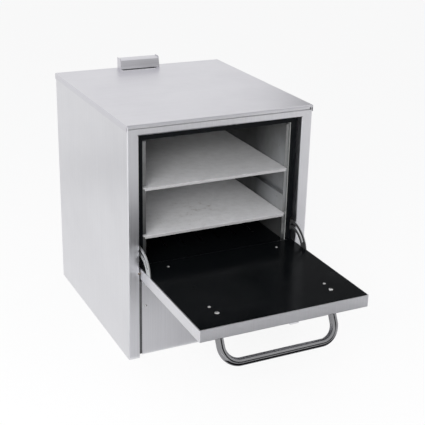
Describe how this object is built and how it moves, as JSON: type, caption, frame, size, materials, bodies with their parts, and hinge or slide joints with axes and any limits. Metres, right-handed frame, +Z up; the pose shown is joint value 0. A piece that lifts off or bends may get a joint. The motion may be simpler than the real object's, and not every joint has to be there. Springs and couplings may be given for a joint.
{
  "type": "countertop deck oven",
  "caption": "Gas-fired countertop oven with stainless cabinet, drop-down door held level by quadrant arms, slide-in sheet decks, rear flue hood and front thermostat.",
  "frame": {"origin": "centre of the cabinet's base, on the surface it stands on", "axes": "+X to the user's right, +Y to the back, +Z up; the door opens towards -Y"},
  "size_m": [0.613, 1.1235, 0.795],
  "materials": {
    "stainless_brushed": "vertical brushed stainless sheet",
    "stainless_lid": "fine brushed stainless sheet",
    "galvanised": "dull zinc-coated sheet",
    "black_paint": "black heat-proof paint",
    "black_enamel": "glossy black vitreous enamel",
    "grey_enamel": "dark grey vitreous enamel",
    "guide_steel": "plain steel, heat darkened",
    "deck_steel": "aluminised steel sheet, satin",
    "polished_steel": "polished stainless tube",
    "screw_steel": "bright plated screws and pins",
    "bronze": "sintered bronze",
    "mineral_wool": "mineral wool blanket",
    "burner_steel": "heat-blued burner steel",
    "gas_fitting": "die-cast gas fitting",
    "black_pipe": "black iron pipe",
    "black_plastic": "black phenolic",
    "red_plastic": "red button"
  },
  "bodies": {
    "cabinet": {"access_panel": "stainless_brushed", "back_panel": "galvanised", "back_screws": "screw_steel", "base_pan": "galvanised", "burner_left": "burner_steel", "burner_rests": "burner_steel", "burner_right": "burner_steel", "burner_tray": "galvanised", "chamber_ceiling": "grey_enamel", "chamber_floor": "black_enamel", "chamber_rear": "grey_enamel", "chamber_side_left": "grey_enamel", "chamber_side_right": "grey_enamel", "door_jamb": "black_enamel", "flue_duct": "galvanised", "flue_hood": "stainless_lid", "front_sill": "black_paint", "gas_inlet": "black_pipe", "gas_manifold": "gas_fitting", "hinge_bush_left": "bronze", "hinge_bush_right": "bronze", "hinge_plate_left": "galvanised", "hinge_plate_right": "galvanised", "igniter_body": "black_plastic", "panel_screws": "screw_steel", "panel_support_left": "black_paint", "panel_support_right": "black_paint", "rack_guide_left": "guide_steel", "rack_guide_right": "guide_steel", "rear_insulation": "mineral_wool", "side_insulation_left": "mineral_wool", "side_insulation_right": "mineral_wool", "side_panel_left": "stainless_brushed", "side_panel_right": "stainless_brushed", "stop_stud_left": "screw_steel", "stop_stud_right": "screw_steel", "thermostat": "gas_fitting", "top_cover": "stainless_lid", "top_insulation": "mineral_wool", "top_rail": "stainless_brushed"},
    "door": {"door_pan": "stainless_brushed", "door_liner": "black_enamel", "door_stiffeners": "galvanised", "door_insulation": "mineral_wool", "liner_screws": "screw_steel", "handle_bolts": "screw_steel", "door_handle": "polished_steel", "hinge_arm_left": "guide_steel", "hinge_arm_right": "guide_steel", "hinge_pin_left": "screw_steel", "hinge_pin_right": "screw_steel"},
    "upper_deck": {"upper_deck": "deck_steel"},
    "lower_deck": {"lower_deck": "deck_steel"},
    "thermostat_knob": {"thermostat_knob": "black_plastic"},
    "igniter_button": {"igniter_button": "red_plastic"}
  },
  "joints": [
    {"name": "door_hinge", "type": "hinge", "parent": "cabinet", "child": "door", "pos_m": [0, -0.33, 0.289], "axis": [-1, 0, 0], "range_deg": [0, 90]},
    {"name": "upper_deck_slide", "type": "slide", "parent": "cabinet", "child": "upper_deck", "axis": [0, 1, 0], "range_m": [-0.22, 0]},
    {"name": "lower_deck_slide", "type": "slide", "parent": "cabinet", "child": "lower_deck", "axis": [0, 1, 0], "range_m": [-0.22, 0]},
    {"name": "thermostat_turn", "type": "hinge", "parent": "cabinet", "child": "thermostat_knob", "pos_m": [0.205, -0.336, 0.104], "axis": [0, 1, 0], "range_deg": [0, 285]},
    {"name": "igniter_press", "type": "slide", "parent": "cabinet", "child": "igniter_button", "axis": [0, 1, 0], "range_m": [0, 0.005], "stiffness_N_per_m": 900, "springref_m": -0.003}
  ]
}
